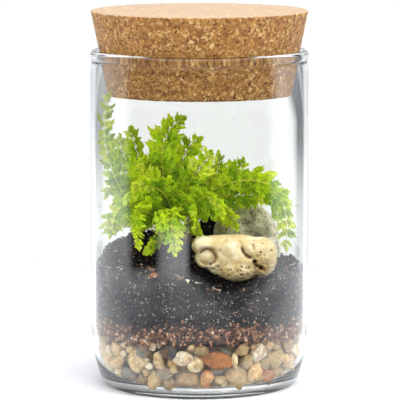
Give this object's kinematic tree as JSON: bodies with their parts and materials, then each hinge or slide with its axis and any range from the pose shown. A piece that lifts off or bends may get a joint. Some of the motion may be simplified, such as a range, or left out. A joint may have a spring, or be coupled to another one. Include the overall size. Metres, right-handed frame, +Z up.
{
  "type": "glass plant terrarium",
  "caption": "Straight glass jar closed by a tapered cork, holding layered pebbles, bark and soil with a ruffled fern, a grey rock and a cream weathered stone.",
  "frame": {"origin": "centre of the jar's foot, on the surface that it stands on", "axes": "+Z up along the jar's axis, -Y towards the side with the cream stone"},
  "size_m": [0.11, 0.11, 0.1903],
  "materials": {
    "glass": "clear, slightly green-grey blown glass with a fire-polished rim",
    "cork": "agglomerated cork granules with dark flecks, matt",
    "pebbles": "mixed cream, tan, orange and grey river pebbles, satin",
    "bark": "reddish-brown bark and coir chips, matt",
    "soil": "dark moist potting soil with fibres and pale grains, matt",
    "grey_stone": "mottled grey-green rock, rough",
    "cream_stone": "smooth worn cream limestone with brown pits and stains",
    "crown": "brown fibrous fern crown and roots",
    "brown_pebble": "brown pebble, matt",
    "white_pebble": "white pebble, matt",
    "fern": "thin bright green leaf, satin"
  },
  "bodies": {
    "root": {"glass_jar": "glass", "cork_stopper": "cork", "pebble_bed": "pebbles", "bark_layer": "bark", "potting_soil": "soil", "grey_rock": "grey_stone", "cream_stone": "cream_stone", "fern_crown": "crown", "brown_soil_pebble": "brown_pebble", "white_soil_pebble": "white_pebble", "frond_wall_climber": "fern", "frond_main_upright": "fern", "frond_left_upright": "fern", "frond_centre_front": "fern", "frond_upper_right": "fern", "frond_middle_right": "fern", "frond_right_upright": "fern", "frond_right_arch": "fern", "frond_right_spray": "fern", "frond_front_hanging": "fern", "frond_stone_sweep": "fern", "frond_front_centre": "fern", "frond_front_left_low": "fern", "frond_front_left_high": "fern", "frond_front_curtain": "fern", "frond_centre_left": "fern", "frond_left_low": "fern", "frond_left_spray": "fern", "frond_second_upright": "fern", "frond_left_wall_low": "fern", "frond_left_back_arch": "fern", "frond_right_back_arch": "fern", "frond_back_upright": "fern", "frond_back_middle": "fern", "frond_back_right": "fern", "frond_back_left": "fern", "frond_front_short": "fern", "frond_front_right_short": "fern"}
  },
  "joints": []
}
